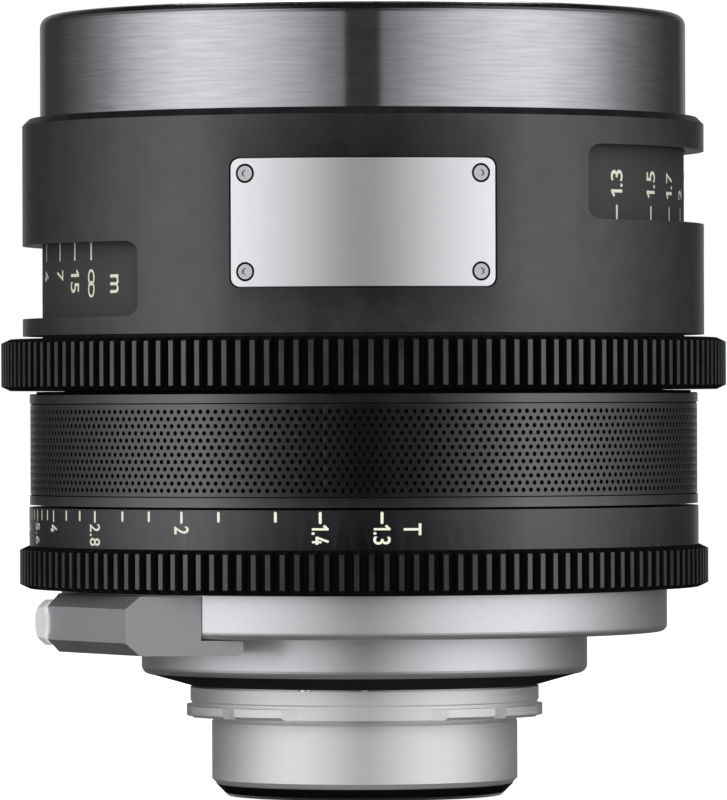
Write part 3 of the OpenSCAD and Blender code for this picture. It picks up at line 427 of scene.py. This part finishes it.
def addMesh(name, vertices, faces, look, body, sharp=None):
    mesh = bpy.data.meshes.new(name)
    mesh.from_pydata(vertices, [], faces)
    mesh.validate()
    made = bpy.data.objects.new(name, mesh)
    scene.collection.objects.link(made)
    mesh.materials.append(finish[look])
    if sharp is not None:
        mesh.shade_smooth()
        mesh.set_sharp_from_angle(angle=math.radians(sharp))
    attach(made, body)
    return made


gripBand = {
    "borderRadius": 59.0 * mm, "bandRadius": 58.9 * mm, "low": 37.22 * mm, "high": 56.7 * mm,
    "lowBorder": 1.64 * mm, "highBorder": 1.7 * mm, "chamfer": 0.2 * mm, "seam": 0.2 * mm, "seamDepth": 0.15 * mm,
    "neckRadius": 57.8 * mm, "neckHigh": 57.1 * mm,
    "rows": 12, "columns": 256, "firstRow": 40.1 * mm, "rowPitch": 1.22 * mm,
    "holeRadius": 0.36 * mm, "rimRadius": 0.41 * mm, "rimDepth": 0.05 * mm, "depth": 0.5 * mm,
    "sides": 12,             # of each hole, a multiple of the six border points
    "firstSide": -45, "sharp": 30,
}


def makeGripBand(band):
    bore = min(math.hypot(v.co.x, v.co.y) for v in nodes["grip_sleeve"].data.vertices)
    columns, sides = band["columns"], band["sides"]
    step = 180 / columns     # half a column, in degrees
    vertices, faces, index = [], [], {}

    def ringPoint(radius, half, z):
        key = (round(radius, 7), half % (2 * columns), round(z, 7))
        if key not in index:
            index[key] = len(vertices)
            vertices.append(point(radius, half * step, z))
        return index[key]

    def ringStrips(outline):
        for (r0, z0), (r1, z1) in zip(outline, outline[1:]):
            for half in range(2 * columns):
                faces.append((ringPoint(r0, half, z0), ringPoint(r0, half + 1, z0),
                              ringPoint(r1, half + 1, z1), ringPoint(r1, half, z1)))

    outer, inner = band["borderRadius"], band["bandRadius"]
    low, high, cut = band["low"], band["high"], band["chamfer"]
    rowLow = band["firstRow"] - band["rowPitch"] / 2
    rowHigh = rowLow + band["rows"] * band["rowPitch"]
    seamLow, seamHigh, seam = low + band["lowBorder"], high - band["highBorder"], band["seam"]
    deep, neck, neckHigh = inner - band["seamDepth"], band["neckRadius"], band["neckHigh"]
    ringStrips([(bore, low), (outer, low), (outer, seamLow), (deep, seamLow), (deep, seamLow + seam),
                (inner, seamLow + seam), (inner, rowLow)])
    ringStrips([(inner, rowHigh), (inner, seamHigh - seam), (deep, seamHigh - seam), (deep, seamHigh),
                (outer, seamHigh), (outer, high - cut), (outer - cut, high), (neck, high), (neck, neckHigh),
                (bore, neckHigh), (bore, low)])

    degreesPerMetre = math.degrees(1 / inner)
    layers = ((band["rimRadius"], inner), (band["holeRadius"], inner - band["rimDepth"]),
              (band["holeRadius"], inner - band["depth"]))
    for row in range(band["rows"]):
        z0 = rowLow + row * band["rowPitch"]
        z1 = z0 + band["rowPitch"]
        middle = (z0 + z1) / 2
        for column in range(columns):
            left = 2 * column + row % 2
            border = [ringPoint(inner, left + half, z) for half, z in
                      ((2, z0), (2, z1), (1, z1), (0, z1), (0, z0), (1, z0))]
            start = len(vertices)
            for radius, reach in layers:
                for side in range(sides):
                    angle = math.radians(band["firstSide"] + 360 * side / sides)
                    phi = (left + 1) * step + radius * math.cos(angle) * degreesPerMetre
                    vertices.append(point(reach, phi, middle + radius * math.sin(angle)))
            share = sides // len(border)       # hole sides that meet one border edge
            for edge, corner in enumerate(border):
                arc = [start + (edge * share + k) % sides for k in range(share + 1)]
                faces.append((corner, border[(edge + 1) % len(border)], *reversed(arc)))
            for layer in range(len(layers) - 1):
                for side in range(sides):
                    a = start + layer * sides + side
                    b = start + layer * sides + (side + 1) % sides
                    faces.append((a, b, b + sides, a + sides))
            floor = start + (len(layers) - 1) * sides
            faces.append(tuple(range(floor, floor + sides)))
    made = addMesh("gripBand", vertices, faces, "gripBlack", "lens_body", sharp=band["sharp"])
    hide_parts("grip_sleeve")


makeGripBand(gripBand)
print("grip band perforated:", gripBand["rows"], "rows of", gripBand["columns"])


# Painted scales. Flat shapes are laid out in mm and then bent round the optical axis.

lettering = {                # shares of the figure's height
    "stroke": 0.17, "width": 0.61, "gap": 0.27, "pointGap": 0.13, "unit": 1.05,
    "fontHeight": 0.695,     # of the font's capitals
    "bolder": 0.011,
    "ownWidth": ".Tm",       # these keep the font's width
}
strokeFigures = {            # strokes from point to point
    "1": [((0.315, 0), (0.315, 1)), ((0.03, 0.71), (0.315, 0.94))],
    "4": [((0.40, 1), (0.08, 0.30)), ((0, 0.30), (0.61, 0.30)), ((0.42, 0), (0.42, 0.58))],
}


def glyphShape(figure):
    # one figure, 1 high, left end at 0
    if figure in strokeFigures:
        points, faces = [], []
        for (x0, y0), (x1, y1) in strokeFigures[figure]:
            half = lettering["stroke"] / 2 / math.hypot(x1 - x0, y1 - y0)
            dx, dy = (y1 - y0) * half, (x0 - x1) * half
            faces.append(tuple(range(len(points), len(points) + 4)))
            points += [(x0 - dx, y0 - dy), (x0 + dx, y0 + dy), (x1 + dx, y1 + dy), (x1 - dx, y1 - dy)]
        return points, faces
    curve = bpy.data.curves.new("figure", "FONT")
    curve.body = figure
    curve.offset = lettering["bolder"]
    holder = bpy.data.objects.new("figure", curve)
    scene.collection.objects.link(holder)
    flat = holder.evaluated_get(bpy.context.evaluated_depsgraph_get()).to_mesh()
    points = [(v.co.x, v.co.y) for v in flat.vertices]
    faces = [tuple(f.vertices) for f in flat.polygons]
    bpy.data.objects.remove(holder)
    bpy.data.curves.remove(curve)
    left, right = min(x for x, y in points), max(x for x, y in points)
    tall, wide = lettering["fontHeight"], right - left
    width = wide / tall if figure in lettering["ownWidth"] else lettering["width"]
    return [((x - left) * width / wide, y / tall) for x, y in points], faces


def textShape(text, height, stretch=1):
    # a line of figures, left end at 0, centred on its height
    points, faces, end = [], [], 0
    for i, figure in enumerate(text):
        shape, glyphFaces = glyphShape(figure)
        if i:
            end += lettering["pointGap" if "." in text[i - 1:i + 1] else "gap"]
        faces += [tuple(len(points) + k for k in face) for face in glyphFaces]
        points += [((end + x) * height * stretch, (y - 0.5) * height) for x, y in shape]
        end += max(x for x, y in shape)
    return points, faces


def infinityShape(length, height, line):
    # two loops that cross in the middle
    points, faces, steps = [], [], 32
    reach, rise, half = length / 4, (height - line) / 2, line / 2
    for middle in (reach + half, length - reach - half):
        start = len(points)
        for i in range(steps):
            turn = 2 * math.pi * i / steps
            for edge in (-half, half):
                points.append((middle + (reach + edge) * math.cos(turn), (rise + edge) * math.sin(turn)))
        for i in range(steps):
            j = (i + 1) % steps
            faces.append((start + 2 * i, start + 2 * j, start + 2 * j + 1, start + 2 * i + 1))
    return points, faces


class MarkSet:
    # collects painted shapes on one cylinder and makes one piece of them
    def __init__(self, radius, lift=0.04):
        self.radius, self.vertices, self.faces = radius + lift, [], []

    def add(self, shape, phi, z, reading):
        # reading is +1 when the figures read upwards, -1 when they read downwards
        points, faces = shape
        start = len(self.vertices)
        for along, across in points:
            turned = phi - reading * math.degrees(across / self.radius)
            self.vertices.append(point(self.radius * mm, turned, (z + reading * along) * mm))
        self.faces += [tuple(start + i for i in face) for face in faces]

    def line(self, phi, z0, z1, width):
        # a stroke with round ends
        half, outline = width / 2, []
        for middle, start in ((z1 - z0 - half, -90), (half, 90)):
            for turn in range(start, start + 181, 30):
                angle = math.radians(turn)
                outline.append((middle + half * math.cos(angle), half * math.sin(angle)))
        self.add((outline, [tuple(range(len(outline)))]), phi, z0, 1)

    def make(self, name, body):
        addMesh(name, self.vertices, self.faces, "scalePaint", body)


focusScale = {
    "radius": 56.7, "line": 0.5, "figure": 3.15,
    "infinity": (4.9, 2.15, 0.42),             # length, height and line of the sign
    "turnPerNear": 88, "openFrom": 0.56, "openMore": 21,
    "distances": ["inf", "15", "7", "4", "3", "2.5", "2", "1.7", "1.5", "1.3", "1.1", "1", "0.9", "0.8", "0.7",
                  "0.6", "0.5", "0.45", "0.4", "0.35"],
    # where each scale starts, which way it reads and where its lines and figures stand
    "rows": [
        {"start": -55.85, "reading": -1, "lines": (79.7, 83.4), "figures": 78.2, "unit": (-48.4, 77.2)},
        {"start": 122.4, "reading": 1, "lines": (85.2, 88.95), "figures": 90.3, "unit": (129.8, 91.3)},
    ],
}


def focusTurn(scale, distance):
    # degrees from infinity; the near end of the scale opens out a little
    near = 1 / distance
    return scale["turnPerNear"] * near + scale["openMore"] * max(0, near - scale["openFrom"])


def makeFocusScale(scale):
    marks = MarkSet(scale["radius"])
    for row in scale["rows"]:
        for text in scale["distances"]:
            phi = row["start"] - focusTurn(scale, float(text))
            shape = infinityShape(*scale["infinity"]) if text == "inf" else textShape(text, scale["figure"])
            marks.line(phi, *row["lines"], scale["line"])
            marks.add(shape, phi, row["figures"], row["reading"])
        marks.add(textShape("m", scale["figure"] * lettering["unit"]), *row["unit"], row["reading"])
    marks.make("focusScale", "focus_ring")


irisScale = {
    "radius": 59.1, "line": 0.5, "figure": 2.85, "stretch": 0.79, "top": 36.55, "long": 34.45, "short": 34.7,
    "figures": 34.05, "figuresLong": 34.3,     # where one figure starts, and where several do
    "stops": {"1.3": 2.95, "1.4": -7.2, "2": -31.7, "2.8": -51.5, "4": -65.7, "5.6": -74.7, "8": -82.9, "11": -89.5,
              "16": -95.0, "22": -98.9},
    "between": [-14.7, -24.7, -38.4, -44.4, -56.0, -60.55, -68.6, -71.7, -77.3, -80.1],
    "unit": (8.0, 34.55),
}


def makeIrisScale(scale):
    marks = MarkSet(scale["radius"])
    for text, phi in scale["stops"].items():
        marks.line(phi, scale["long"], scale["top"], scale["line"])
        start = scale["figures"] if len(text) == 1 else scale["figuresLong"]
        marks.add(textShape(text, scale["figure"], scale["stretch"]), phi, start, -1)
    for phi in scale["between"]:
        marks.line(phi, scale["short"], scale["top"], scale["line"])
    marks.add(textShape("T", scale["figure"] * lettering["unit"], scale["stretch"]), *scale["unit"], -1)
    marks.make("irisScale", "iris_control")


indexLines = {
    "line": 0.6, "barrelRadius": 60.2, "focus": [(-90, 82.7, 86.2), (89, 82.7, 86.2)],
    "gripRadius": 59.0, "iris": (-90, 37.75, 38.9),
}


def makeIndexLines(setup):
    onBarrel = MarkSet(setup["barrelRadius"])
    for place in setup["focus"]:
        onBarrel.line(*place, setup["line"])
    onBarrel.make("focusIndex", "lens_body")
    onGrip = MarkSet(setup["gripRadius"])
    onGrip.line(*setup["iris"], setup["line"])
    onGrip.make("irisIndex", "lens_body")


makeFocusScale(focusScale)
makeIrisScale(irisScale)
makeIndexLines(indexLines)
print("scales painted")


# Studio: pale floor, dark table top, two graded light sheets, two lamps and two dark flags

studio = {
    "sheetRadius": 1.15, "sheetLow": -0.0142, "sheetHigh": 1.0, "sheetStart": 6.1, "sheetEnd": 180.0,
    "sheetLevel": 0.054, "lowReach": 0.30, "tallReach": 0.85, "tallFrom": 60.0,
    # strength of the sheets by angle from the camera
    "sheetGrades": [(6.1, 0.37), (12, 0.50), (20, 0.74), (32, 1.01), (45, 1.20), (58, 1.28), (66, 1.24), (80, 0.94),
                    (92, 0.62), (101, 0.37), (115, 0.18), (127, 0.10), (135.5, 0.06), (152, 0.05), (163, 0.22),
                    (180, 0.34)],
    "sheetTint": (0.99, 0.98, 1.03), "sheetGain": 2.0,
    "flagRadius": 1.17, "flagReach": 7.0, "flagColor": 0.09,
    "ceilingRadius": 1.25, "ceilingHeight": 1.04, "ceilingColor": 0.012,
    "clothLook": {"Roughness": 1, "Specular IOR Level": 0},
    "tableRadius": 1.14, "tableLift": 0.0005, "tableColor": 0.01, "tableLook": {"Roughness": 0, "IOR": 2.0},
    "topPower": 3.0, "topSize": 0.5, "topPlace": (0, 0.7, 0.98),
    "fillPower": 17.0, "fillSize": 1.0, "fillPlace": (0, -1.5, 0.55), "aim": (0, 0, 0.055),
    "floorSize": 12, "floorDrop": 0.0002, "floorColor": 0.82, "floorGlow": 0.9,
    "floorLook": {"Roughness": 0.9, "Specular IOR Level": 0.1, "Emission Color": (1, 1, 1, 1)},
    "worldFill": 0.12,
}


def makePlain(name, value, look):
    material, tree, shader = newMaterial(name)
    setInputs(tree, shader, {"Base Color": (value, value, value, 1), **look})
    return material


def seenRays(tree):
    # 1 for what the camera sees, straight or in metal and glass
    path = addNode(tree, "ShaderNodeLightPath", (-1000, -400)).outputs
    either = mathNode(tree, "MAXIMUM", (-800, -400), path["Is Camera Ray"], path["Is Glossy Ray"])
    return mathNode(tree, "MAXIMUM", (-600, -400), either, path["Is Transmission Ray"])


def makeSheetLight(setup):
    material, tree, shader = newMaterial("sheetLight")
    tree.nodes.remove(shader)
    coords = addNode(tree, "ShaderNodeTexCoord", (-1000, 0))
    axes = addNode(tree, "ShaderNodeSeparateXYZ", (-820, 0), {0: coords.outputs["Object"]}).outputs
    aside = mathNode(tree, "ABSOLUTE", (-640, 60), axes["X"])
    ahead = mathNode(tree, "MULTIPLY", (-640, -80), axes["Y"], -1.0)
    angle = mathNode(tree, "ARCTAN2", (-460, 0), aside, ahead)
    halfTurn = mathNode(tree, "DIVIDE", (-300, 0), angle, math.pi)
    ramp = addNode(tree, "ShaderNodeValToRGB", (-140, 0), {"Fac": halfTurn})
    elements = ramp.color_ramp.elements
    while len(elements) < len(setup["sheetGrades"]):
        elements.new(0.5)
    for element, (degrees, strength) in zip(elements, setup["sheetGrades"]):
        element.position = degrees / 180
        element.color = (*(strength / setup["sheetGain"] * part for part in setup["sheetTint"]), 1)
    # low beside the camera, tall at the sides
    tall = addNode(tree, "ShaderNodeMapRange", (-300, -300), {
        "Value": angle, "From Min": math.radians(setup["sheetStart"]), "From Max": math.radians(setup["tallFrom"]),
        "To Min": setup["lowReach"], "To Max": setup["tallReach"]}, interpolation_type="SMOOTHSTEP")
    level = mathNode(tree, "SUBTRACT", (-460, -200), axes["Z"], setup["sheetLevel"])
    climb = mathNode(tree, "DIVIDE", (-100, -250), level, tall.outputs["Result"])
    square = mathNode(tree, "MULTIPLY", (40, -250), climb, climb)
    fade = mathNode(tree, "EXPONENT", (320, -250), mathNode(tree, "MULTIPLY", (180, -250), square, -1.0))
    glow = addNode(tree, "ShaderNodeEmission", (600, 0), {
        "Color": ramp.outputs["Color"],
        "Strength": mathNode(tree, "MULTIPLY", (460, -150), fade, setup["sheetGain"])})
    setInputs(tree, tree.nodes["Material Output"], {"Surface": glow.outputs[0]})
    return material


def addArc(name, radius, start, end, setup, material):
    low, high = setup["sheetLow"], setup["sheetHigh"]
    steps = max(4, int(abs(end - start) / 2))
    vertices, faces = [], []
    for i in range(steps + 1):
        phi = start + (end - start) * i / steps
        vertices += [point(radius, phi, low), point(radius, phi, high)]
    for i in range(steps):
        faces.append((2 * i, 2 * i + 1, 2 * i + 3, 2 * i + 2))
    mesh = bpy.data.meshes.new(name)
    mesh.from_pydata(vertices, [], faces)
    mesh.materials.append(material)
    made = bpy.data.objects.new(name, mesh)
    scene.collection.objects.link(made)
    made.visible_camera = made.visible_shadow = False
    made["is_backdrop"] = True


def addDisc(name, radius, height, material):
    # met by reflections only
    bpy.ops.mesh.primitive_circle_add(vertices=64, radius=radius, fill_type="NGON", location=(0, 0, height))
    disc = bpy.context.object
    disc.name = name
    disc.visible_camera = disc.visible_diffuse = disc.visible_shadow = False
    disc.data.materials.append(material)
    disc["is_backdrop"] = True


def addLamp(label, setup):
    lamp = bpy.data.lights.new(label + "Lamp", "AREA")
    lamp.shape = "SQUARE"
    lamp.size = setup[label + "Size"]
    lamp.energy = setup[label + "Power"]
    hung = bpy.data.objects.new(label + "Lamp", lamp)
    hung.location = setup[label + "Place"]
    aim = Vector(setup["aim"]) - hung.location
    hung.rotation_euler = aim.to_track_quat("-Z", "Y").to_euler()
    scene.collection.objects.link(hung)
    return hung


def addFloor(setup, height):
    bpy.ops.mesh.primitive_plane_add(size=setup["floorSize"], location=(0, 0, height))
    floor = bpy.context.object
    floor.name = "floor"
    floor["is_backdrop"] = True
    paper = makePlain("paper", setup["floorColor"], setup["floorLook"])
    tree = paper.node_tree
    shader = tree.nodes["Principled BSDF"]
    glow = mathNode(tree, "MULTIPLY", (-200, -400), seenRays(tree), setup["floorGlow"])
    setInputs(tree, shader, {"Emission Strength": glow})
    # clear from below, so that the mount can be looked at
    clear = addNode(tree, "ShaderNodeBsdfTransparent", (0, -500))
    shape = addNode(tree, "ShaderNodeNewGeometry", (0, 400))
    mix = addNode(tree, "ShaderNodeMixShader", (300, 100), {
        0: shape.outputs["Backfacing"], 1: shader.outputs[0], 2: clear.outputs[0]})
    setInputs(tree, tree.nodes["Material Output"], {"Surface": mix.outputs[0]})
    floor.data.materials.append(paper)


def addWorld(setup):
    world = bpy.data.worlds.new("studio")
    scene.world = world
    world.use_nodes = True
    tree = world.node_tree
    strength = mathNode(tree, "MAXIMUM", (-200, 0), seenRays(tree), setup["worldFill"])
    setInputs(tree, tree.nodes["Background"], {"Color": (1, 1, 1, 1), "Strength": strength})


def addStudio(setup):
    light = makeSheetLight(setup)
    for label, sign in (("Right", 1), ("Left", -1)):
        start, end = sign * setup["sheetStart"], sign * setup["sheetEnd"]
        addArc("sheet" + label, setup["sheetRadius"], start, end, setup, light)
    cloth = makePlain("flagFrontCloth", setup["flagColor"], setup["clothLook"])
    addArc("flagFront", setup["flagRadius"], -setup["flagReach"], setup["flagReach"], setup, cloth)
    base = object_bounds()[0][2]
    gloss = makePlain("tableGloss", setup["tableColor"], setup["tableLook"])
    addDisc("tableTop", setup["tableRadius"], base + setup["tableLift"], gloss)
    dark = makePlain("flagCloth", setup["ceilingColor"], setup["clothLook"])
    addDisc("flagCeiling", setup["ceilingRadius"], setup["ceilingHeight"], dark)
    addLamp("top", setup)
    addLamp("fill", setup).visible_glossy = False      # only lifts matt surfaces
    addFloor(setup, base - setup["floorDrop"])
    addWorld(setup)


addStudio(studio)
print("studio lit")
